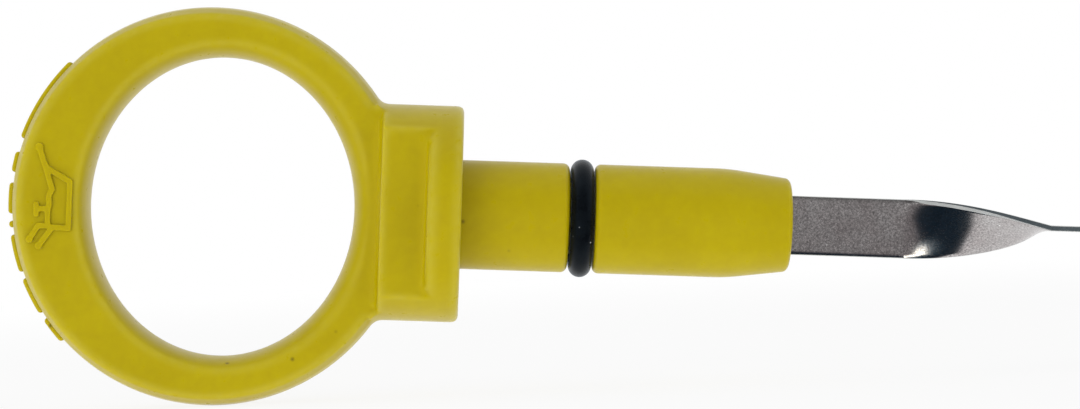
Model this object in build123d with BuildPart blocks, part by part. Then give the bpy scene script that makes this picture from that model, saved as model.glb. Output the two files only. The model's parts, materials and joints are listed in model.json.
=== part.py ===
# Engine oil dipstick: a moulded pull ring on a stepped collar, a sealed plug and a twisted steel blade.
#
# Each piece is built along the stick first: +X runs from the collar's seat face to the blade's tip,
# the finger ring lies in XY, and the seat's centre is the origin. The finished pieces are then stood
# on a bench as the stick rests there, on the ring's rim and the blade's tip, with +Z up.
# All lengths are in millimetres and all angles in degrees.
import math
import os

from build123d import *

# Finger ring
hole_length = 28.7  # along the stick, at the narrowest section
hole_width = 32.4
side_wall = 5.4
grip_wall = 8.4  # opposite the stem
neck_wall = 2.95  # between the hole and the collar
ring_thickness = 9.0
ring_chamfer = 0.6
neck_radius = 1.5  # concave blend from the rim into the collar

# Crowned inside of the ring: how far the hole widens from its waist to either face
lip_side = 1.45
lip_grip = 1.1
lip_neck = 2.0
lip_arc = 80  # how far the crown turns from its waist towards lying flat with the face
lip_sections = 7

# Raised pads round the rim opposite the stem, each from one angle to another about the ring's centre
pad_spans = ((136, 162), (166, 172), (175, 184), (186, 188), (190, 201), (203, 214), (216, 224))
pad_height = 0.4
pad_width = 5.6
pad_chamfer = 0.2
pad_root = 0.8  # how deep a pad starts inside the rim

# Collar: a round seat rim, with a thinner stretch between two flats next to the ring
collar_diameter = 23.5
collar_length = 8.65
rim_length = 3.65
rim_chamfer = 0.6
across_flats = 15.0
step_chamfer = 0.36
flat_edge_radius = 0.45

# Stem, seal groove and plug
stem_diameter = 11.85
stem_length = 11.65
seal_section = 2.5
seal_proud = 0.47  # how far the seal stands out of the plug
seal_clearance = 0.02
groove_side_gap = 0.12
groove_chamfer = 0.46
plug_length = 21.25
nose_length = 6.8
nose_angle = 7.5
nose_chamfer = 0.42

# Blade
blade_width = 6.4
blade_thickness = 0.6
root_length = 19.0  # moulded into the plug
notch_length = 3.0  # in both edges of the root, so that the plug holds it
notch_depth = 1.4
notch_inset = 4.5  # from the root's end to the middle of the notches
flat_run = 12.4
twist_length = 15.6
twist_turn = 90
twist_even = 0.9  # share of the turn that is spread evenly, while the rest comes at the end
twist_sidestep = 0.6  # how far the twist leaves the lower run to one side, at the end too
end_power = 8  # how late that end comes
twist_sections = 13
reach = 250.0  # from the seat to the blade's tip

# Level marks: two round holes near the tip
mark_diameter = 2.0
full_mark_height = 46.0
low_mark_height = 22.0

# Places worked out from the sizes above
hole_x = -(collar_length + neck_wall + hole_length / 2)
ring_radius = hole_width / 2 + side_wall
ring_x = hole_x - hole_length / 2 - grip_wall + ring_radius
half_thickness = ring_thickness / 2
collar_radius = collar_diameter / 2
stem_radius = stem_diameter / 2
groove_width = seal_section + 2 * groove_side_gap
groove_end = stem_length + groove_width
seal_x = stem_length + groove_width / 2
seal_radius = stem_radius + seal_proud - seal_section / 2
groove_radius = seal_radius - seal_section / 2 - seal_clearance
plug_end = groove_end + plug_length
nose_start = plug_end - nose_length
nose_radius = stem_radius - nose_length * math.tan(math.radians(nose_angle))
root_x = plug_end - root_length
twist_x = plug_end + flat_run
run_x = twist_x + twist_length
tip_radius = blade_width / 2
tip_x = reach - tip_radius

# Blade: a flat strip whose root is gripped in the plug, turned on edge by the twist
with BuildPart() as blade:
    with BuildSketch():
        with Locations(((root_x + twist_x) / 2, 0)):
            Rectangle(twist_x - root_x, blade_width)
        notch_x = root_x + notch_inset
        with Locations((notch_x, blade_width / 2), (notch_x, -blade_width / 2)):
            Rectangle(notch_length, 2 * notch_depth, mode=Mode.SUBTRACT)
    extrude(amount=blade_thickness / 2, both=True)

    for section in range(twist_sections):
        share = section / (twist_sections - 1)
        late = share**end_power
        turn = math.radians(twist_turn * (twist_even * share + (1 - twist_even) * late))
        place = (twist_x + twist_length * share, twist_sidestep * late, 0)
        across = (0, math.cos(turn), math.sin(turn))
        with BuildSketch(Plane(origin=place, x_dir=across, z_dir=(1, 0, 0))):
            Rectangle(blade_width, blade_thickness)
    loft()

    run_turn = math.radians(twist_turn)
    run_face = (0, -math.sin(run_turn), math.cos(run_turn))
    with BuildSketch(Plane(origin=(0, twist_sidestep, 0), x_dir=(1, 0, 0), z_dir=run_face)):
        with Locations(((run_x + tip_x) / 2, 0)):
            Rectangle(tip_x - run_x, blade_width)
        with Locations((tip_x, 0)):
            Circle(tip_radius)
        with Locations((reach - full_mark_height, 0), (reach - low_mark_height, 0)):
            Circle(mark_diameter / 2, mode=Mode.SUBTRACT)
    extrude(amount=blade_thickness / 2, both=True)

# Seal ring: a plain O-ring
with BuildPart() as seal_ring:
    with BuildSketch():
        with Locations((seal_x, seal_radius)):
            Circle(seal_section / 2)
    revolve(axis=Axis.X)

# Neck: the part of the ring's thickness that flares from the collar into the rim
blend_reach = ring_radius + neck_radius
blend_height = collar_radius + neck_radius
blend_x = ring_x + math.sqrt(blend_reach**2 - blend_height**2)
rim_x = ring_x + (blend_x - ring_x) * ring_radius / blend_reach
rim_y = blend_height * ring_radius / blend_reach
with BuildPart() as neck:
    with BuildSketch():
        with BuildLine():
            Polyline((blend_x, collar_radius), (-rim_length, collar_radius), (-rim_length, 0), (rim_x, 0))
            Line((rim_x, 0), (rim_x, rim_y))
            RadiusArc((rim_x, rim_y), (blend_x, collar_radius), neck_radius)
        make_face()
    revolve(axis=Axis.X)
    with BuildSketch():
        with Locations((ring_x, 0)):
            Circle(2 * ring_radius)
    extrude(amount=half_thickness - ring_chamfer, both=True, mode=Mode.INTERSECT)

# Finger ring: a thick disc with broken outer edges and a hole that narrows to its waist
with BuildPart() as finger_ring:
    with BuildSketch():
        with Locations((ring_x, 0)):
            Circle(ring_radius)
    extrude(amount=half_thickness, both=True)
    chamfer(finger_ring.edges().filter_by(GeomType.CIRCLE), ring_chamfer)
    add(neck.part)

    lip_length = (lip_grip + lip_neck) / 2
    lip_shift = (lip_neck - lip_grip) / 2
    crown = math.radians(lip_arc)
    for section in range(lip_sections):
        turn = crown * (2 * section / (lip_sections - 1) - 1)
        height = half_thickness * math.sin(turn) / math.sin(crown)
        share = (1 - math.cos(turn)) / (1 - math.cos(crown))
        with BuildSketch(Plane.XY.offset(height)):
            with Locations((hole_x + lip_shift * share, 0)):
                Ellipse(hole_length / 2 + lip_length * share, hole_width / 2 + lip_side * share)
    loft(ruled=True, mode=Mode.SUBTRACT)

# Hub: the stretch of the collar between its two flats
with BuildPart() as hub:
    with BuildSketch(Plane.YZ.offset(-collar_length)):
        Circle(collar_radius)
        Rectangle(collar_diameter, across_flats, mode=Mode.INTERSECT)
    extrude(amount=collar_length - rim_length + step_chamfer)
    fillet(hub.faces().sort_by(Axis.X)[0].edges().filter_by(Axis.Y), flat_edge_radius)

# Grip pads: short raised bars that follow the rim
with BuildPart() as grip_pads:
    for first, last in pad_spans:
        with BuildSketch() as pad:
            with BuildLine():
                outer = CenterArc((ring_x, 0), ring_radius + pad_height, first, last - first)
                inner = CenterArc((ring_x, 0), ring_radius - pad_root, first, last - first)
                Line(outer @ 0, inner @ 0)
                Line(outer @ 1, inner @ 1)
            make_face()
            chamfer(pad.vertices().sort_by_distance((ring_x, 0))[-2:], pad_chamfer)
        extrude(amount=pad_width / 2, both=True)

# Handle: ring, hub, pads and the turned length moulded as one piece round the blade's root
with BuildPart() as handle:
    add(finger_ring.part)
    add(grip_pads.part)
    add(hub.part)

    with BuildSketch() as turned:
        with BuildLine():
            Polyline(
                (-rim_length, 0),
                (-rim_length, collar_radius),
                (0, collar_radius),
                (0, stem_radius),
                (stem_length, stem_radius),
                (stem_length, groove_radius),
                (groove_end, groove_radius),
                (groove_end, stem_radius),
                (nose_start, stem_radius),
                (plug_end, nose_radius),
                (plug_end, 0),
                close=True,
            )
        make_face()
        broken_corners = (
            ((-rim_length, collar_radius), step_chamfer),
            ((0, collar_radius), rim_chamfer),
            ((stem_length, stem_radius), groove_chamfer),
            ((groove_end, stem_radius), groove_chamfer),
            ((plug_end, nose_radius), nose_chamfer),
        )
        for corner, leg in broken_corners:
            chamfer(turned.vertices().sort_by_distance(corner)[0], leg)
    revolve(axis=Axis.X)

    add(blade.part, mode=Mode.SUBTRACT)

# Stand the stick on its rim and tip, the bench at zero height and the origin below the middle of its box
tip_rise = twist_sidestep - blade_thickness / 2
tip_reach = reach - ring_x
slope = math.asin(ring_radius / math.hypot(tip_rise, tip_reach)) + math.atan2(tip_rise, tip_reach)
stood = Rotation(0, math.degrees(slope), 0) * Rotation(90, 0, 0)
box = Compound([piece.part.moved(stood) for piece in (handle, seal_ring, blade)]).bounding_box()
rest = Pos(-box.center().X, -box.center().Y, -box.min.Z) * stood

os.makedirs("parts", exist_ok=True)
for piece, label in ((handle, "handle"), (seal_ring, "seal_ring"), (blade, "blade")):
    piece.part.label = label
    piece.part.move(rest)
    export_step(piece.part, f"parts/{label}.step")
print(f"slopes {math.degrees(slope):.2f} degrees down to the tip, in a box of {box.size}")
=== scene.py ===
# Engine oil dipstick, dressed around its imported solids
import json
import math

import bmesh
import bpy
import numpy
from mathutils import Matrix, Vector


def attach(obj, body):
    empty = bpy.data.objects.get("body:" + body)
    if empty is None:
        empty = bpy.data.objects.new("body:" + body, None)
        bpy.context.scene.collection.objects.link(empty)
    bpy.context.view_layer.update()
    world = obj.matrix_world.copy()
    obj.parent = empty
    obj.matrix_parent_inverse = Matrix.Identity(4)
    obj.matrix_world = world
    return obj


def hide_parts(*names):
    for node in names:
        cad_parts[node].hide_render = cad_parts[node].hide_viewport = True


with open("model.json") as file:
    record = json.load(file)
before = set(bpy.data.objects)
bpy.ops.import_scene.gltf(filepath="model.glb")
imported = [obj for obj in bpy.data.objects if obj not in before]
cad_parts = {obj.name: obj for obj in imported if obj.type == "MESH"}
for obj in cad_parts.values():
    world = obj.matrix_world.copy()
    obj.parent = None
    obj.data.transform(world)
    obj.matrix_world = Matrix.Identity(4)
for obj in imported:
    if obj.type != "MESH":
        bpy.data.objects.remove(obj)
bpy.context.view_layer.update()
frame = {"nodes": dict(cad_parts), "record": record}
print("frame loaded:", sorted(frame["nodes"]))

millimetre = 0.001
tiny = 0.01     # in millimetres, to tell places apart
weldReach = 0.0001     # likewise: points of a shell nearer than this are one
cutReach = 0.00001     # and a point nearer to a cut than this lies on it
cornerSegments = 6     # of each rounded corner in a turned outline

# the stick's own axes, from its mounts: along it, up across the ring's face, and out of that face
mounts = {mount["name"]: mount for mount in frame["record"]["mounts"]}
alongStick = Vector(mounts["tube_plug"]["axis"]).normalized()
outOfFace = Vector(mounts["finger_ring"]["axis"]).normalized()
acrossFace = outOfFace.cross(alongStick)
plugPoint = Vector(mounts["tube_plug"]["pos_m"])
seatPoint = Vector(mounts["collar_seat"]["pos_m"])
seatCentre = plugPoint + alongStick * (seatPoint - plugPoint).dot(alongStick)
stickTurn = Matrix((alongStick, acrossFace, outOfFace)).transposed().to_4x4()
stickPlace = Matrix.Translation(seatCentre) @ stickTurn @ Matrix.Scale(millimetre, 4)


# small helpers for node trees

def feed(tree, socket, value):
    if isinstance(value, bpy.types.NodeSocket):
        tree.links.new(value, socket)
    else:
        socket.default_value = value


def addNode(tree, kind, inputs=None, **settings):
    node = tree.nodes.new(kind)
    for name, value in settings.items():
        setattr(node, name, value)
    for name, value in (inputs or {}).items():
        feed(tree, node.inputs[name], value)
    return node


def addMath(tree, operation, *values):
    return addNode(tree, "ShaderNodeMath", dict(enumerate(values)), operation=operation).outputs[0]


def addVectorMath(tree, operation, *values, output="Vector"):
    node = addNode(tree, "ShaderNodeVectorMath", dict(enumerate(values)), operation=operation)
    return node.outputs[output]


def remap(tree, value, source=(0.0, 1.0), target=(0.0, 1.0), smooth=False):
    inputs = {"Value": value, "From Min": source[0], "From Max": source[1],
              "To Min": target[0], "To Max": target[1]}
    node = addNode(tree, "ShaderNodeMapRange", inputs,
                   interpolation_type="SMOOTHSTEP" if smooth else "LINEAR")
    return node.outputs[0]


def blendColour(tree, share, base, top):
    node = addNode(tree, "ShaderNodeMix", data_type="RGBA")
    sockets = {socket.identifier: socket for socket in node.inputs}
    for name, value in (("Factor_Float", share), ("A_Color", base), ("B_Color", top)):
        feed(tree, sockets[name], value)
    return next(socket for socket in node.outputs if socket.identifier == "Result_Color")


def startGroup(name, inputs, output):
    tree = bpy.data.node_groups.new(name, "ShaderNodeTree")
    for socketName, kind in inputs.items():
        tree.interface.new_socket(socketName, in_out="INPUT", socket_type=kind)
    tree.interface.new_socket(output, in_out="OUTPUT", socket_type="NodeSocketFloat")
    given = tree.nodes.new("NodeGroupInput").outputs
    return tree, given, tree.nodes.new("NodeGroupOutput").inputs[output]


# shared effects

def makeSpeckGroup():
    sockets = {"Place": "NodeSocketVector", "Scale": "NodeSocketFloat", "Size": "NodeSocketFloat",
               "Share": "NodeSocketFloat"}
    tree, given, mask = startGroup("specks", sockets, "Mask")
    cells = addNode(tree, "ShaderNodeTexVoronoi",
                    {"Vector": given["Place"], "Scale": given["Scale"], "Randomness": 1.0})
    dot = remap(tree, cells.outputs["Distance"], (0.0, given["Size"]), (1.0, 0.0), smooth=True)
    pick = addNode(tree, "ShaderNodeSeparateColor", {"Color": cells.outputs["Color"]})
    chosen = addMath(tree, "LESS_THAN", pick.outputs["Red"], given["Share"])
    tree.links.new(addMath(tree, "MULTIPLY", dot, chosen), mask)
    return tree


def makeMottleGroup():
    sockets = {"Place": "NodeSocketVector", "Scale": "NodeSocketFloat", "Low": "NodeSocketFloat",
               "High": "NodeSocketFloat"}
    tree, given, value = startGroup("mottle", sockets, "Value")
    noise = addNode(tree, "ShaderNodeTexNoise",
                    {"Vector": given["Place"], "Scale": given["Scale"], "Detail": 4.0, "Roughness": 0.6})
    tree.links.new(remap(tree, noise.outputs["Fac"], (given["Low"], given["High"])), value)
    return tree


specks = makeSpeckGroup()
mottle = makeMottleGroup()


def addSpecks(tree, place, grain):
    inputs = dict(zip(("Scale", "Size", "Share"), grain), Place=place)
    return addNode(tree, "ShaderNodeGroup", inputs, node_tree=specks).outputs["Mask"]


def addMottle(tree, place, grain):
    inputs = dict(zip(("Scale", "Low", "High"), grain), Place=place)
    return addNode(tree, "ShaderNodeGroup", inputs, node_tree=mottle).outputs["Value"]


def startMaterial(name, sockets):
    material = bpy.data.materials.new(name)
    material.use_nodes = True
    tree = material.node_tree
    shader = tree.nodes["Principled BSDF"]
    for socketName, value in sockets.items():
        shader.inputs[socketName].default_value = value
    place = tree.nodes.new("ShaderNodeTexCoord").outputs["Object"]
    return material, tree, shader, place


def finishMaterial(tree, shader, colour, roughness, height, bump):
    strength, distance = bump
    normal = addNode(tree, "ShaderNodeBump", {"Height": height, "Strength": strength, "Distance": distance})
    tree.links.new(colour, shader.inputs["Base Color"])
    tree.links.new(roughness, shader.inputs["Roughness"])
    tree.links.new(normal.outputs["Normal"], shader.inputs["Normal"])


# in the looks below a mottle is given as scale, low and high, and specks as scale, size and share
mouldLook = {
    "colour": (0.488, 0.397, 0.0012, 1),
    "dull": (0.444, 0.354, 0.0009, 1), "drift": (130.0, 0.3, 0.7),     # slow drift of the colour
    "smudge": (0.36, 0.275, 0.0008, 1), "fine": (900.0, 0.25, 0.75), "smudgeShare": 0.3,
    "edgeWearAndHighlightColour": (0.58, 0.515, 0.075, 1), "edgeWearAndHighlightShare": (0.10, 0.42),     # on edges: wear, and a painted highlight where the edges catch light
    "creaseBounceLightColour": (0.51, 0.40, 0.0004, 1),     # in creases: painted bounce light, more saturated and a little brighter
    "speckColour": (0.10, 0.075, 0.01, 1), "specks": (420.0, 0.15, 0.07), "speckShare": 0.75,
    "roughness": (0.26, 0.34),
    "grain": (5200.0, 0.2, 0.8), "bump": (0.12, 0.000012),     # strength and height in metres
    "sockets": {
        "Subsurface Weight": 0.6,     # light spreads a little inside the plastic
        "Subsurface Radius": (1.0, 0.9, 0.3),
        "Subsurface Scale": 0.0009,
        "Specular IOR Level": 0.15,
        "Sheen Weight": 0.18,
        "Sheen Roughness": 0.17,
        "Sheen Tint": (1.0, 0.98, 0.88, 1),
    },
}


def makeMoulding():
    look = mouldLook
    material, tree, shader, place = startMaterial("yellowMoulding", look["sockets"])
    fine = addMottle(tree, place, look["fine"])
    colour = blendColour(tree, addMottle(tree, place, look["drift"]), look["colour"], look["dull"])
    colour = blendColour(tree, addMath(tree, "MULTIPLY", fine, look["smudgeShare"]), colour, look["smudge"])
    # edges paler for wear and a painted highlight; creases more saturated and a little brighter as painted
    # bounce light
    edgeWearAndHighlight = addNode(tree, "ShaderNodeAttribute", attribute_name="edgeWearAndHighlight").outputs["Fac"]     # see markEdgesAndCreases
    edgeWearAndHighlightShare = addMath(tree, "MULTIPLY", edgeWearAndHighlight, remap(tree, fine, target=look["edgeWearAndHighlightShare"]))
    colour = blendColour(tree, edgeWearAndHighlightShare, colour, look["edgeWearAndHighlightColour"])
    creaseBounceLight = addNode(tree, "ShaderNodeAttribute", attribute_name="creaseBounceLight").outputs["Fac"]
    colour = blendColour(tree, creaseBounceLight, colour, look["creaseBounceLightColour"])
    dots = addMath(tree, "MULTIPLY", addSpecks(tree, place, look["specks"]), look["speckShare"])
    colour = blendColour(tree, dots, colour, look["speckColour"])
    roughness = remap(tree, fine, target=look["roughness"])
    finishMaterial(tree, shader, colour, roughness, addMottle(tree, place, look["grain"]), look["bump"])
    return material


rubberLook = {
    "colour": (0.0022, 0.0028, 0.004, 1),
    "dusty": (0.005, 0.0068, 0.009, 1), "film": (700.0, 0.35, 0.75),
    "dust": (0.55, 0.58, 0.62, 1), "specks": (1700.0, 0.24, 0.09),
    "roughness": (0.24, 0.42),
    "pores": (3600.0, 0.25, 0.75), "bump": (0.3, 0.00001),
    "sockets": {
        "Specular IOR Level": 0.09,
        "Specular Tint": (0.55, 0.80, 1.0, 1),
        "Sheen Weight": 0.22,
        "Sheen Roughness": 0.24,
        "Sheen Tint": (0.42, 0.62, 0.85, 1),
    },
}


def makeRubber():
    look = rubberLook
    material, tree, shader, place = startMaterial("blackRubber", look["sockets"])
    film = addMottle(tree, place, look["film"])
    colour = blendColour(tree, film, look["colour"], look["dusty"])
    colour = blendColour(tree, addSpecks(tree, place, look["specks"]), colour, look["dust"])
    roughness = remap(tree, film, target=look["roughness"])
    finishMaterial(tree, shader, colour, roughness, addMottle(tree, place, look["pores"]), look["bump"])
    return material


steelLook = {     # the strip's faces
    "colour": (0.78, 0.755, 0.75, 1),
    "stain": (0.64, 0.585, 0.582, 1),
    "pale": (0.97, 0.97, 0.96, 1),
    "pit": (0.18, 0.17, 0.17, 1), "pitting": 0.95,
    "roughness": (0.13, 0.21),
    "sockets": {"Metallic": 1.0, "Specular IOR Level": 0.5},
}
edgeLook = {     # its sheared edges
    "colour": (0.095, 0.113, 0.122, 1),
    "stain": (0.064, 0.077, 0.085, 1),
    "pale": (0.16, 0.17, 0.18, 1),
    "pit": (0.030, 0.037, 0.042, 1), "pitting": 0.5,
    "roughness": (0.5, 0.65),
    "sockets": {"Metallic": 0.0, "Specular IOR Level": 0.1},
}
cornerLook = {     # the burnished line between face and edge
    "colour": (0.56, 0.575, 0.57, 1),
    "stain": (0.46, 0.475, 0.47, 1),
    "pale": (0.70, 0.70, 0.69, 1),
    "pit": (0.3, 0.3, 0.3, 1), "pitting": 0.3,
    "roughness": (0.46, 0.58),
    "sockets": {"Metallic": 0.25, "Specular IOR Level": 0.3},
}
steelGrain = {     # what the three share
    "slow": (330.0, 0.3, 0.7), "fine": (5500.0, 0.25, 0.75), "specks": (1500.0, 0.25, 0.08),
    "streaks": (4000.0, 0.25, 0.75), "drawn": (0.12, 1, 1),     # rolling marks, drawn out along the strip
    "bump": (0.2, 0.000006),
    "slope": math.atan2(-alongStick.z, alongStick.x),
}


def makeSteel(name, look):
    grain = steelGrain
    material, tree, shader, place = startMaterial(name, look["sockets"])
    level = addNode(tree, "ShaderNodeMapping", {"Vector": place, "Rotation": (0, -grain["slope"], 0)})
    drawn = addVectorMath(tree, "MULTIPLY", level.outputs[0], grain["drawn"])
    fine = addMottle(tree, place, grain["fine"])
    colour = blendColour(tree, addMottle(tree, place, grain["slow"]), look["colour"], look["stain"])
    colour = blendColour(tree, addMath(tree, "MULTIPLY", fine, look["pitting"]), colour, look["pit"])
    colour = blendColour(tree, addSpecks(tree, place, grain["specks"]), colour, look["pale"])
    roughness = remap(tree, fine, target=look["roughness"])
    height = addMath(tree, "ADD", addMottle(tree, drawn, grain["streaks"]), fine)
    finishMaterial(tree, shader, colour, roughness, height, grain["bump"])
    return material


yellowMoulding = makeMoulding()
blackRubber = makeRubber()
rolledSteel = makeSteel("rolledSteel", steelLook)
shearedSteel = makeSteel("shearedSteel", edgeLook)
burnishedSteel = makeSteel("burnishedSteel", cornerLook)
print("materials made")


def dress(target, material):
    target.data.materials.clear()
    target.data.materials.append(material)


def addPiece(name, mesh, materials):
    for material in materials:
        mesh.materials.append(material)
    piece = bpy.data.objects.new(name, mesh)
    bpy.context.scene.collection.objects.link(piece)
    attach(piece, "root")
    return piece


# helpers for shells modelled in millimetres along the stick's own axes

def addWire(shell, points, closed=False):
    verts = [shell.verts.new(point) for point in points]
    following = verts[1:] + (verts[:1] if closed else [])
    for first, second in zip(verts, following):
        shell.edges.new((first, second))
    return verts


def roundCorner(shell, corner, size):
    bmesh.ops.bevel(shell, geom=[corner], offset=size, offset_type="OFFSET", affect="VERTICES",
                    segments=cornerSegments, profile=0.5, material=-1, clamp_overlap=True)


def roundEdges(shell, edges, size, segments):
    rounded = bmesh.ops.bevel(shell, geom=edges, offset=size, offset_type="OFFSET", affect="EDGES",
                              segments=segments, profile=0.5, material=-1, clamp_overlap=True)
    return rounded["faces"]


def spinShell(shell, axis, steps):
    bmesh.ops.spin(shell, geom=shell.verts[:] + shell.edges[:], cent=(0, 0, 0), axis=axis, dvec=(0, 0, 0),
                   angle=math.tau, steps=steps, use_merge=True, use_duplicate=False)
    bmesh.ops.remove_doubles(shell, verts=shell.verts, dist=weldReach)
    bmesh.ops.recalc_face_normals(shell, faces=shell.faces)


def turnedShell(points, rounds, steps):
    shell = bmesh.new()
    corners = addWire(shell, [(x, radius, 0) for x, radius in points])
    for index, size in rounds.items():
        roundCorner(shell, corners[index], size)
    spinShell(shell, (1, 0, 0), steps)
    return shell


def closeCuts(shell):
    openEdges = [edge for edge in shell.edges if edge.is_boundary]
    bmesh.ops.holes_fill(shell, edges=openEdges, sides=0)


def cutAcross(shell, place, normal, clearOuter=False):
    everything = shell.verts[:] + shell.edges[:] + shell.faces[:]
    bmesh.ops.bisect_plane(shell, geom=everything, dist=cutReach, plane_co=place, plane_no=normal,
                           clear_outer=clearOuter)


def shaveSides(shell, height):
    for side in (1, -1):
        cutAcross(shell, (0, 0, side * height), (0, 0, side), clearOuter=True)
        closeCuts(shell)


def joinShells(shells):
    joined = bmesh.new()
    for shell in shells:
        part = bpy.data.meshes.new("part")
        shell.to_mesh(part)
        shell.free()
        joined.from_mesh(part)
        bpy.data.meshes.remove(part)
    return joined


def shellMesh(shell, name):
    mesh = bpy.data.meshes.new(name)
    shell.to_mesh(mesh)
    shell.free()
    return mesh


def finishedMesh(mesh, addModifiers):
    carrier = bpy.data.objects.new("carrier", mesh)
    bpy.context.scene.collection.objects.link(carrier)
    addModifiers(carrier)
    ready = carrier.evaluated_get(bpy.context.evaluated_depsgraph_get())
    result = bpy.data.meshes.new_from_object(ready)
    bpy.data.objects.remove(carrier)
    bpy.data.meshes.remove(mesh)
    return result


def moulded(shell, name, voxel, passes):
    def addModifiers(carrier):
        union = carrier.modifiers.new("union", "REMESH")
        union.mode = "VOXEL"
        union.voxel_size = voxel
        soften = carrier.modifiers.new("soften", "SMOOTH")
        soften.factor = 0.5
        soften.iterations = passes
    mesh = finishedMesh(shellMesh(shell, name + "Rough"), addModifiers)
    mesh.name = name
    return mesh


# stores how far each point lies on an edge or in a crease, for the moulding's colour: wear and a painted
# highlight on edges, painted bounce light in creases
def markEdgesAndCreases(mesh, shape):
    count = len(mesh.vertices)
    points, normals = numpy.empty((count, 3)), numpy.empty((count, 3))
    ends = numpy.empty((len(mesh.edges), 2), dtype=numpy.int64)
    mesh.vertices.foreach_get("co", points.ravel())
    mesh.vertices.foreach_get("normal", normals.ravel())
    mesh.edges.foreach_get("vertices", ends.ravel())
    near, far = numpy.concatenate((ends, ends[:, ::-1])).T
    links = numpy.maximum(numpy.bincount(near, minlength=count), 1)
    runs = points[far] - points[near]
    runs /= numpy.maximum(numpy.linalg.norm(runs, axis=1, keepdims=True), 1e-9)
    hollow = numpy.bincount(near, (runs * normals[near]).sum(1), count) / links     # below 0 on an edge
    for _ in range(shape["edgeCreaseSpread"]):
        hollow = (hollow + numpy.bincount(near, hollow[far], count) / links) / 2
    for name, sign, (start, full) in (("edgeWearAndHighlight", -1, shape["edgeWearAndHighlight"]), ("creaseBounceLight", 1, shape["creaseBounceLight"])):
        share = numpy.clip((sign * hollow - start) / (full - start), 0, 1)
        mesh.attributes.new(name, "FLOAT", "POINT").data.foreach_set("value", share)


def settle(mesh, sharpAngle=None):
    mesh.transform(stickPlace)
    mesh.shade_smooth()
    if sharpAngle is not None:
        mesh.set_sharp_from_angle(angle=math.radians(sharpAngle))
    return mesh


# grip: finger ring, neck, hub and collar rim, joined into one soft moulding
gripShape = {
    "ringMiddle": -27.1, "ringRadius": 21.6, "halfThickness": 4.5,
    "draftStart": 0.8, "draftFall": 0.92, "draftSwell": 0.28,     # the wall leans in towards either face
    "rimRound": 0.34,
    "holeMiddle": -25.95, "holeHalf": (14.35, 16.2),     # at the waist, along and across the stick
    "lipWidth": (1.55, 1.45), "lipShift": 0.45, "lipArc": math.radians(80), "lipSteps": 24,
    "neckRound": 1.5, "neckSteps": 8,
    "collarRadius": 11.75, "collarLength": 8.65, "rimLength": 3.65, "flatHeight": 7.5,
    "stepRound": 0.95, "seatRound": 0.6, "hubRound": 0.85, "hubSegments": 4,
    "coves": ((-8.65, 4.5, 1.1, 10.0), (-3.65, 7.5, 0.7, 8.0)),     # wall, floor, radius and half length
    "coveSteps": 8, "coveSunk": 0.5,     # how far a cove reaches inside its neighbours
    "steps": 160,
    "voxel": 0.24, "softening": 5,
    "edgeWearAndHighlight": (0.009, 0.05), "creaseBounceLight": (0.004, 0.07),     # bends that start and fully count as edge or crease
    "edgeCreaseSpread": 10,
}


def makeRing(shape):
    shell = bmesh.new()
    half, crown = shape["halfThickness"], shape["lipArc"]
    radius, fall = shape["ringRadius"], shape["draftFall"]
    bend = (shape["draftStart"] + half) / 2     # where the wall is fuller than a straight cone
    wall = [(radius, shape["draftStart"]), (radius - shape["draftSwell"] * fall, bend), (radius - fall, half)]
    outline = [(r, 0, -z) for r, z in reversed(wall)] + [(r, 0, z) for r, z in wall]
    parked = 0.6 * radius     # where the lip waits until it is moved to its oval
    for step in range(shape["lipSteps"] + 1):
        turn = crown * (1 - 2 * step / shape["lipSteps"])
        outline.append((parked, 0, half * math.sin(turn) / math.sin(crown)))
    corners = addWire(shell, outline, closed=True)
    for corner in (corners[0], corners[5]):     # the wall's two ends
        roundCorner(shell, corner, shape["rimRound"])
    spinShell(shell, (0, 0, 1), shape["steps"])
    for vert in shell.verts:
        if math.hypot(vert.co.x, vert.co.y) < parked + tiny:
            around = math.atan2(vert.co.y, vert.co.x)
            turn = math.asin(max(-1, min(1, vert.co.z * math.sin(crown) / half)))
            share = (1 - math.cos(turn)) / (1 - math.cos(crown))
            long, wide = (hole + lip * share for hole, lip in zip(shape["holeHalf"], shape["lipWidth"]))
            middle = shape["holeMiddle"] - shape["ringMiddle"] + shape["lipShift"] * share
            vert.co.x = middle + long * math.cos(around)
            vert.co.y = wide * math.sin(around)
    bmesh.ops.translate(shell, verts=shell.verts, vec=(shape["ringMiddle"], 0, 0))
    bmesh.ops.recalc_face_normals(shell, faces=shell.faces)
    return shell


def makeNeck(shape):
    blend = shape["neckRound"]
    reach = shape["ringRadius"] + blend
    height = shape["collarRadius"] + blend
    middle = shape["ringMiddle"] + math.sqrt(reach ** 2 - height ** 2)
    start = math.atan2(-height, shape["ringMiddle"] - middle)     # towards the ring's middle
    stop = -math.pi / 2
    points = [(-shape["rimLength"], 0), (-shape["rimLength"], shape["collarRadius"])]
    for step in range(shape["neckSteps"] + 1):
        angle = stop + (start - stop) * step / shape["neckSteps"]
        points.append((middle + blend * math.cos(angle), height + blend * math.sin(angle)))
    points.append((points[-1][0], 0))
    shell = turnedShell(points, {}, shape["steps"])
    shaveSides(shell, shape["halfThickness"])
    return shell


def makeHub(shape):
    left, right = -shape["collarLength"], -shape["rimLength"] + shape["stepRound"]
    radius, flat = shape["collarRadius"], shape["flatHeight"]
    shell = turnedShell([(left, 0), (left, radius), (right, radius), (right, 0)], {}, shape["steps"])
    shaveSides(shell, flat)
    bmesh.ops.recalc_face_normals(shell, faces=shell.faces)
    fronts = [edge for edge in shell.edges
              if all(vert.co.x < left + tiny and abs(vert.co.z) > flat - tiny for vert in edge.verts)]
    roundEdges(shell, fronts, shape["hubRound"], shape["hubSegments"])
    return shell


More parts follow.
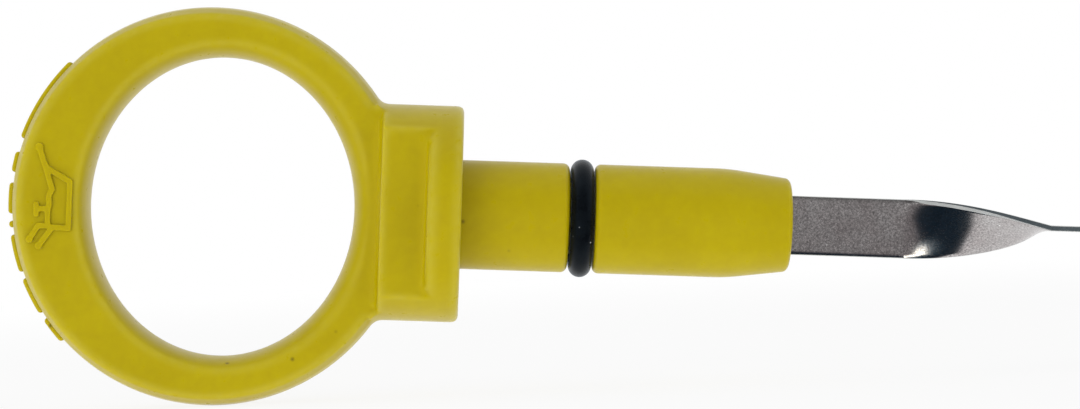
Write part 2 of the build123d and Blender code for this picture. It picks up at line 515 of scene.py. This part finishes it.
def makeCove(shape, wall, floor, radius, halfLength, side):
    shell = bmesh.new()
    sunk = shape["coveSunk"]
    points = [(wall + sunk, floor + radius), (wall + sunk, floor - sunk), (wall - radius, floor - sunk)]
    for step in range(shape["coveSteps"] + 1):
        turn = math.pi / 2 * (1 - step / shape["coveSteps"])
        points.append((wall - radius + radius * math.cos(turn), floor + radius - radius * math.sin(turn)))
    verts = [shell.verts.new((x, -halfLength, side * z)) for x, z in points]
    end = bmesh.ops.contextual_create(shell, geom=verts)["faces"]
    grown = bmesh.ops.extrude_face_region(shell, geom=end)["geom"]
    bmesh.ops.translate(shell, verts=[item for item in grown if isinstance(item, bmesh.types.BMVert)],
                        vec=(0, 2 * halfLength, 0))
    bmesh.ops.recalc_face_normals(shell, faces=shell.faces)
    return shell


def makeRim(shape):
    left, radius = -shape["rimLength"], shape["collarRadius"]
    rounds = {1: shape["stepRound"], 2: shape["seatRound"]}
    return turnedShell([(left, 0), (left, radius), (0, radius), (0, 0)], rounds, shape["steps"])


gripShells = [make(gripShape) for make in (makeRing, makeNeck, makeHub, makeRim)]
gripShells += [makeCove(gripShape, *cove, side) for cove in gripShape["coves"] for side in (1, -1)]
gripMesh = moulded(joinShells(gripShells), "grip", gripShape["voxel"], gripShape["softening"])
markEdgesAndCreases(gripMesh, gripShape)
grip = addPiece("grip", settle(gripMesh), [yellowMoulding])
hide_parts("handle")
print("grip:", len(grip.data.polygons), "faces")

# pads: short raised bars round the rim opposite the stem
padShape = {
    "spans": ((136, 162), (166, 172), (175, 184), (186, 188), (190, 201), (203, 214), (216, 224)),
    "height": 0.4, "root": 0.8, "halfWidth": 1.3, "stepAngle": 1.0,
    "round": 0.36, "roundSegments": 3, "cornerAngle": 45, "sharpAngle": 50,
}


def makePad(shape, first, last):
    shell = bmesh.new()
    inner, outer = gripShape["ringRadius"] - shape["root"], gripShape["ringRadius"] + shape["height"]
    start, turn = math.radians(first), math.radians(last - first)
    corners = ((inner, -1), (outer, -1), (outer, 1), (inner, 1))
    addWire(shell, [(radius * math.cos(start), radius * math.sin(start), side * shape["halfWidth"])
                    for radius, side in corners], closed=True)
    steps = max(2, round((last - first) / shape["stepAngle"]))
    bmesh.ops.spin(shell, geom=shell.verts[:] + shell.edges[:], cent=(0, 0, 0), axis=(0, 0, 1),
                   dvec=(0, 0, 0), angle=turn, steps=steps, use_merge=False, use_duplicate=False)
    closeCuts(shell)
    bmesh.ops.recalc_face_normals(shell, faces=shell.faces)
    corner = math.radians(shape["cornerAngle"])
    sharp = [edge for edge in shell.edges if edge.calc_face_angle() > corner]
    roundEdges(shell, sharp, shape["round"], shape["roundSegments"])
    bmesh.ops.translate(shell, verts=shell.verts, vec=(gripShape["ringMiddle"], 0, 0))
    return shell


padMesh = shellMesh(joinShells([makePad(padShape, *span) for span in padShape["spans"]]), "rimPads")
rimPads = addPiece("rimPads", settle(padMesh, padShape["sharpAngle"]), [yellowMoulding])
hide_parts("handle")
print("pads:", len(rimPads.data.polygons), "faces")

# sign: the plain oil can moulded on the ring's face, as raised strokes
signShape = {
    "strokes": (
        ((-45.47, 5.78), (-44.95, 4.26), (-44.60, 3.57)),     # spout
        ((-44.60, 3.57), (-42.07, 2.16), (-42.09, -2.86), (-43.93, -2.78), (-44.32, -2.65)),     # back, base
        ((-44.87, 4.05), (-43.95, 1.25), (-44.30, 0.58),     # top
         (-44.22, -0.37), (-44.37, -1.04), (-44.32, -2.65)),
        ((-44.38, -0.82), (-45.58, -0.86)),     # filler cap
        ((-45.62, -0.39), (-45.58, -1.44)),
        ((-44.32, -2.65), (-45.33, -2.67), (-46.23, -4.15)),     # carrying handle
        ((-43.84, -2.85), (-45.22, -4.80)),
    ),
    "ends": ((-45.47, 5.78, 0.44), (-46.23, -4.15, 0.40), (-45.22, -4.80, 0.40)),     # swollen stroke ends
    "width": 0.60, "rise": 0.36, "sunk": 0.16, "dotSegments": 20,
    "voxel": 0.055, "softening": 5,
}


def makeSign(shape):
    tall = shape["rise"] + shape["sunk"]
    middle = gripShape["halfThickness"] + (shape["rise"] - shape["sunk"]) / 2
    shells = []
    dots = [(x, y, shape["width"] / 2) for line in shape["strokes"] for x, y in line]
    for x, y, radius in dots + list(shape["ends"]):
        shell = bmesh.new()
        bmesh.ops.create_cone(shell, cap_ends=True, cap_tris=False, segments=shape["dotSegments"],
                              radius1=radius, radius2=radius, depth=tall,
                              matrix=Matrix.Translation((x, y, middle)))
        shells.append(shell)
    for line in shape["strokes"]:
        for first, second in zip(line, line[1:]):
            run, halfway = Vector(second) - Vector(first), (Vector(first) + Vector(second)) / 2
            place = Matrix.Translation((*halfway, middle))
            turn = Matrix.Rotation(math.atan2(run.y, run.x), 4, "Z")
            size = Matrix.Diagonal((run.length, shape["width"], tall, 1))
            shell = bmesh.new()
            bmesh.ops.create_cube(shell, size=1.0, matrix=place @ turn @ size)
            shells.append(shell)
    return moulded(joinShells(shells), "oilCanSign", shape["voxel"], shape["softening"])


sign = addPiece("oilCanSign", settle(makeSign(signShape)), [yellowMoulding])
print("sign:", len(sign.data.polygons), "faces")

# plug: the turned stem, seal groove and tapered nose
plugShape = {
    "points": ((-2.0, 0), (-2.0, 5.925), (11.65, 5.925), (11.65, 3.875), (14.39, 3.875), (14.39, 5.925),
               (28.84, 5.925), (35.64, 5.03), (35.64, 0)),
    "rounds": {2: 0.72, 5: 0.66, 6: 1.2, 7: 0.6},     # by the number of the point
    "steps": 128, "sharpAngle": 32,
}
plugShell = turnedShell(plugShape["points"], plugShape["rounds"], plugShape["steps"])
plugMesh = settle(shellMesh(plugShell, "plug"), plugShape["sharpAngle"])
plug = addPiece("plug", plugMesh, [yellowMoulding])
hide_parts("handle")
print("plug:", len(plug.data.polygons), "faces")

dress(frame["nodes"]["seal_ring"], blackRubber)

# blade: a flat strip with rounded edges, turned on edge by its quarter twist
bladeShape = {
    "start": 31.0, "tip": 249.99, "width": 6.4, "thickness": 0.6,
    "tipRound": 3.198, "tipSegments": 14,     # just under half its width
    "edgeRound": 0.10, "edgeSegments": 2,
    "twistStart": 48.04, "twistLength": 15.6, "twistTurn": math.radians(90),
    "twistEven": 0.9, "endPower": 8, "sidestep": 0.6,
    "twistCuts": 52, "spareCuts": 6,     # the spare ones lie beyond either end of the twist
    "lengthCuts": (0.0, 0.8, -0.8, 1.6, -1.6, 2.4, -2.4, 2.7, -2.7), "rootCut": 33.0,
    "rollWidth": 0.24, "rollDrop": 0.10,     # top edge rolled over along part of the twist
    "rollBorder": (0.4, 1.5),     # corner widths from the side between which a point moves in, not down
    "rollRise": (0.06, 0.15), "rollFall": (0.55, 0.8),     # shares of the twist where that starts and ends
    "holes": (204.0, 228.0), "holeRadius": 1.0, "holeSegments": 40, "holeDepth": 4.0,
    "sharpAngle": 50,
}


def makeStrip(shape):
    strip = bmesh.new()
    length = shape["tip"] - shape["start"]
    size = Matrix.Diagonal((length, shape["width"], shape["thickness"], 1))
    place = Matrix.Translation((shape["start"] + length / 2, 0, 0))
    bmesh.ops.create_cube(strip, size=1.0, matrix=place @ size)
    tipCorners = [edge for edge in strip.edges
                  if all(vert.co.x > shape["tip"] - tiny for vert in edge.verts)
                  and abs(edge.verts[0].co.z - edge.verts[1].co.z) > tiny]
    roundEdges(strip, tipCorners, shape["tipRound"], shape["tipSegments"])
    for face in strip.faces:     # 0 on a face, 1 on an edge and 2 on the corner between them
        face.material_index = 0 if abs(face.normal.z) > 0.5 else 1
    rims = [edge for edge in strip.edges
            if abs(edge.verts[0].co.z - edge.verts[1].co.z) < tiny
            and max(vert.co.x for vert in edge.verts) > shape["start"] + tiny
            and {face.material_index for face in edge.link_faces} == {0, 1}]
    for face in roundEdges(strip, rims, shape["edgeRound"], shape["edgeSegments"]):
        face.material_index = 2
    for distance in shape["lengthCuts"]:
        cutAcross(strip, (0, distance, 0), (0, 1, 0))
    cutAcross(strip, (shape["rootCut"], 0, 0), (1, 0, 0))
    for step in range(-shape["spareCuts"], shape["twistCuts"] + shape["spareCuts"] + 1):
        x = shape["twistStart"] + shape["twistLength"] * step / shape["twistCuts"]
        cutAcross(strip, (x, 0, 0), (1, 0, 0))
    bmesh.ops.remove_doubles(strip, verts=strip.verts, dist=tiny)     # slivers where the tip's roundings meet
    return strip


def makeHoleCutter(shape):
    shells = []
    for x in shape["holes"]:
        shell = bmesh.new()
        bmesh.ops.create_cone(shell, cap_ends=True, cap_tris=False, segments=shape["holeSegments"],
                              radius1=shape["holeRadius"], radius2=shape["holeRadius"],
                              depth=shape["holeDepth"], matrix=Matrix.Translation((x, 0, 0)))
        shells.append(shell)
    cutter = bpy.data.objects.new("holeCutter", shellMesh(joinShells(shells), "holeCutter"))
    bpy.context.scene.collection.objects.link(cutter)
    return cutter


def ramp(value, start, end):
    return max(0, min(1, (value - start) / (end - start)))


def makeBlade(shape):
    cutter = makeHoleCutter(shape)

    def addModifiers(carrier):
        punch = carrier.modifiers.new("punch", "BOOLEAN")
        punch.operation = "DIFFERENCE"
        punch.object = cutter
        punch.solver = "EXACT"
    mesh = finishedMesh(shellMesh(makeStrip(shape), "strip"), addModifiers)
    bpy.data.objects.remove(cutter)
    borderStart, borderEnd = shape["rollBorder"]
    for vert in mesh.vertices:
        share = ramp(vert.co.x, shape["twistStart"], shape["twistStart"] + shape["twistLength"])
        late = share ** shape["endPower"]
        turn = shape["twistTurn"] * (shape["twistEven"] * share + (1 - shape["twistEven"]) * late)
        y, z = vert.co.y, vert.co.z
        inset = (shape["width"] / 2 - y) / shape["edgeRound"]     # 1 at the corner's border on the face
        if inset < borderEnd and z > shape["thickness"] / 4:
            roll = ramp(share, *shape["rollRise"]) - ramp(share, *shape["rollFall"])
            if inset > borderStart:
                y -= shape["rollWidth"] * roll
            else:
                z -= shape["rollDrop"] * roll
        vert.co.y = shape["sidestep"] * late + y * math.cos(turn) - z * math.sin(turn)
        vert.co.z = y * math.sin(turn) + z * math.cos(turn)
    mesh.name = "blade"
    return mesh


bladeSteels = [rolledSteel, shearedSteel, burnishedSteel]     # by the strip's face numbers
bladeMesh = settle(makeBlade(bladeShape), bladeShape["sharpAngle"])
blade = addPiece("bladeStrip", bladeMesh, bladeSteels)
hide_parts("blade")
print("blade:", len(blade.data.polygons), "faces,", {face.material_index for face in blade.data.polygons})


# stage: floor, light and camera
stageLook = {
    "floorSize": 8.0,
    "floorColour": (0.82, 0.82, 0.82, 1),
    "floorGlow": (0.88, 1.0), "fade": (0.16, 0.5),     # share of plain white, near the stick and far from it
    "domeStrength": 0.77,
    # how pale reflections see the room, by degrees from straight out of the ring's face, and along the stick
    "room": ((0, 0.325), (14, 0.31), (26, 0.12), (48, 0.12), (78, 1.0), (158, 1.0), (177, 0.85)),
    "sides": (0.75, 0.75, 0.75, 1), "sideways": (0.5, 0.9),
}


def startSheet(name, sheet, materialName):
    piece = bpy.data.objects.new(name, shellMesh(sheet, name))
    bpy.context.scene.collection.objects.link(piece)
    material = bpy.data.materials.new(materialName)
    material.use_nodes = True
    material.node_tree.nodes.clear()
    dress(piece, material)
    return piece, material.node_tree


def showShader(tree, shader, outputKind):
    out = tree.nodes.new(outputKind)
    tree.links.new(shader.outputs[0], out.inputs["Surface"])


def makeFloor():
    look = stageLook
    sheet = bmesh.new()
    bmesh.ops.create_grid(sheet, x_segments=1, y_segments=1, size=look["floorSize"] / 2)
    floor, tree = startSheet("floor", sheet, "whiteFloor")
    plain = addNode(tree, "ShaderNodeBsdfDiffuse", {"Color": look["floorColour"]})
    glow = addNode(tree, "ShaderNodeEmission", {"Color": (1, 1, 1, 1), "Strength": 1.0})
    rays = tree.nodes.new("ShaderNodeLightPath").outputs
    seen = addMath(tree, "MAXIMUM", rays["Is Camera Ray"], rays["Is Glossy Ray"])
    seen = addMath(tree, "MAXIMUM", seen, rays["Is Transmission Ray"])
    place = tree.nodes.new("ShaderNodeTexCoord").outputs["Object"]
    away = addVectorMath(tree, "LENGTH", place, output="Value")
    share = addMath(tree, "MULTIPLY", seen, remap(tree, away, look["fade"], look["floorGlow"], smooth=True))
    mixed = addNode(tree, "ShaderNodeMixShader", {0: share, 1: plain.outputs[0], 2: glow.outputs[0]})
    showShader(tree, mixed, "ShaderNodeOutputMaterial")


# flag: a dark glowing card on the floor before the stick, which only reflections see; it paints the blade's
# dark reflection, and its bright patch paints the blade's glint
flagLook = {
    "outline": ((-60, 12), (30, 12), (44, 8), (61, 2.4), (64, 1.6), (420, 1.6), (420, 900), (-60, 900)),
    "rise": 0.4,     # in millimetres, as its outline: along the stick from the seat, and before it
    "dark": (0.008, 0.020, 0.034, 1), "cloud": (0.028, 0.043, 0.060, 1), "clouds": (70.0, 0.45, 0.75),
    "grey": (0.27, 0.255, 0.26, 1),
    "fade": (0.05, 0.13),     # metres before the stick over which dark turns to grey
    "side": (68, 80), "slant": 0.33,     # millimetres along it where it does so too, and how that line slants
    "handle": (34, 22),     # and where it does so before the plug
    # a bright glowing patch on the card, which is no lamp and is seen only as the blade's painted glint with
    # a bluish halo: its place, half sizes and turn, and the shares of its size where it fades
    "lamp": (69.0, 27.0), "glintPatchSize": (6.0, 12.5), "glintPatchTurn": math.radians(60),
    "glintPatchColour": (1.0, 0.96, 0.84, 1), "glintPatchStrength": 5.0, "glintCore": (0.5, 1.0),
    "glintHaloColour": (0.16, 0.24, 0.30, 1), "glintHalo": (0.6, 1.75),
}


def fromSeat(x):
    return seatCentre.x + x * millimetre


def makeFlag():
    look = flagLook
    sheet = bmesh.new()
    corners = [sheet.verts.new((fromSeat(x), -before * millimetre, look["rise"] * millimetre))
               for x, before in look["outline"]]
    bmesh.ops.contextual_create(sheet, geom=corners)
    flag, tree = startSheet("flag", sheet, "flagCard")
    place = tree.nodes.new("ShaderNodeTexCoord").outputs["Object"]
    axes = addNode(tree, "ShaderNodeSeparateXYZ", {"Vector": place}).outputs
    before = addMath(tree, "MULTIPLY", axes["Y"], -1.0)
    slanted = addMath(tree, "ADD", axes["X"], addMath(tree, "MULTIPLY", before, look["slant"]))
    fade = remap(tree, before, look["fade"], smooth=True)
    side = remap(tree, slanted, [fromSeat(x) for x in look["side"]], smooth=True)
    handle = remap(tree, axes["X"], [fromSeat(x) for x in look["handle"]], smooth=True)
    greyed = addMath(tree, "MAXIMUM", addMath(tree, "MAXIMUM", fade, side), handle)
    colour = blendColour(tree, addMottle(tree, place, look["clouds"]), look["dark"], look["cloud"])
    colour = blendColour(tree, greyed, colour, look["grey"])
    # painted glint: a glowing patch and a bluish halo round it, seen only in the blade's reflection
    glintPatchX, glintPatchBefore = look["lamp"]
    shifted = addVectorMath(tree, "SUBTRACT", place, (fromSeat(glintPatchX), -glintPatchBefore * millimetre, 0))
    turned = addNode(tree, "ShaderNodeVectorRotate",
                     {"Vector": shifted, "Axis": (0, 0, 1), "Angle": look["glintPatchTurn"]})
    wide, long = (size * millimetre for size in look["glintPatchSize"])
    scaled = addVectorMath(tree, "MULTIPLY", turned.outputs[0], (1 / long, 1 / wide, 0))
    away = addVectorMath(tree, "LENGTH", scaled, output="Value")
    glintHalo = remap(tree, away, look["glintHalo"], (1.0, 0.0), smooth=True)
    colour = blendColour(tree, glintHalo, colour, look["glintHaloColour"])
    glintCore = remap(tree, away, look["glintCore"], (1.0, 0.0), smooth=True)
    colour = blendColour(tree, glintCore, colour, look["glintPatchColour"])
    strength = remap(tree, glintCore, target=(1.0, look["glintPatchStrength"]))
    glow = addNode(tree, "ShaderNodeEmission", {"Color": colour, "Strength": strength})
    showShader(tree, glow, "ShaderNodeOutputMaterial")
    flag.visible_camera = False
    flag.visible_diffuse = False
    flag.visible_shadow = False
    flag.visible_transmission = False


def makeWorld():
    look = stageLook
    world = bpy.data.worlds.new("studio")
    bpy.context.scene.world = world
    world.use_nodes = True
    tree = world.node_tree
    tree.nodes.clear()
    direction = tree.nodes.new("ShaderNodeTexCoord").outputs["Generated"]
    facing = addVectorMath(tree, "DOT_PRODUCT", direction, tuple(outOfFace), output="Value")
    angle = addMath(tree, "ARCCOSINE", facing)
    levels = addNode(tree, "ShaderNodeValToRGB", {"Fac": addMath(tree, "DIVIDE", angle, math.pi)})
    levels.color_ramp.interpolation = "EASE"
    stops = levels.color_ramp.elements
    while len(stops) < len(look["room"]):
        stops.new(1.0)
    for stop, (degrees, level) in zip(stops, look["room"]):
        stop.position = degrees / 180
        stop.color = (level, level, level, 1)
    along = addVectorMath(tree, "DOT_PRODUCT", direction, tuple(alongStick), output="Value")
    sideways = remap(tree, addMath(tree, "ABSOLUTE", along), look["sideways"], smooth=True)
    room = blendColour(tree, sideways, levels.outputs["Color"], look["sides"])
    rays = tree.nodes.new("ShaderNodeLightPath").outputs
    seen = addMath(tree, "MAXIMUM", rays["Is Camera Ray"], rays["Is Glossy Ray"])
    strength = remap(tree, seen, target=(look["domeStrength"], 1.0))     # the camera sees plain white
    colour = blendColour(tree, rays["Is Glossy Ray"], (1, 1, 1, 1), room)
    dome = addNode(tree, "ShaderNodeBackground", {"Color": colour, "Strength": strength})
    showShader(tree, dome, "ShaderNodeOutputWorld")


cameraView = {
    "middle": (8.55, 1.36),     # millimetres along and across the stick at the picture's middle
    "axis": (-1.5, 1.36),       # and where the lens points: the picture is cut from a wider one
    "distance": 365.0,
    "width": 117.4,             # what the picture spans at that distance
    "roll": math.radians(1.88),
    "sensor": 36.0,
    "clip": (0.01, 50.0),       # metres
}


def makeCamera():
    view = cameraView
    data = bpy.data.cameras.new("camera")
    data.sensor_width = view["sensor"]
    data.lens = view["sensor"] * view["distance"] / view["width"]
    data.clip_start, data.clip_end = view["clip"]
    camera = bpy.data.objects.new("camera", data)
    right = alongStick * math.cos(view["roll"]) + acrossFace * math.sin(view["roll"])
    up = outOfFace.cross(right)
    turn = Matrix((right, up, outOfFace)).transposed().to_4x4()
    axis, middle = Vector((*view["axis"], 0)), Vector((*view["middle"], 0))
    aside = stickTurn @ (middle - axis)
    data.shift_x = aside.dot(right) / view["width"]
    data.shift_y = aside.dot(up) / view["width"]
    place = stickPlace @ axis + outOfFace * view["distance"] * millimetre
    camera.matrix_world = Matrix.Translation(place) @ turn
    bpy.context.scene.collection.objects.link(camera)
    bpy.context.scene.camera = camera


lampLook = {
    "softboxPlace": (-0.94, -1.80, 0.20),     # metres from the stick at the picture's middle
    "softboxSize": 1.2, "softboxPower": 14.5,
    "tableBefore": 0.06, "tableRise": 0.0001,     # metres before the stick and above the floor
    "tableSize": 0.6, "tablePower": 0.44,
}


def addLamp(name, place, aim, size, power):
    data = bpy.data.lights.new(name, "AREA")
    data.shape = "DISK"
    data.size = size
    data.energy = power
    lamp = bpy.data.objects.new(name, data)
    lamp.location = place
    lamp.rotation_mode = "QUATERNION"
    lamp.rotation_quaternion = (aim - place).to_track_quat("-Z", "Y")
    lamp.visible_glossy = False
    bpy.context.scene.collection.objects.link(lamp)
    return lamp


def makeLamps():
    look = lampLook
    middle = stickPlace @ Vector((*cameraView["middle"], 0))
    softbox = middle + Vector(look["softboxPlace"])
    addLamp("leftSoftbox", softbox, middle, look["softboxSize"], look["softboxPower"])
    table = Vector((middle.x, -look["tableBefore"], look["tableRise"]))
    upwards = table + Vector((0, 0, 1))
    lightTable = addLamp("lightTable", table, upwards, look["tableSize"], look["tablePower"])
    lightTable.visible_camera = False


makeFloor()
makeFlag()
makeWorld()
makeCamera()
makeLamps()
bpy.context.scene.view_settings.view_transform = "Standard"
print("stage set")
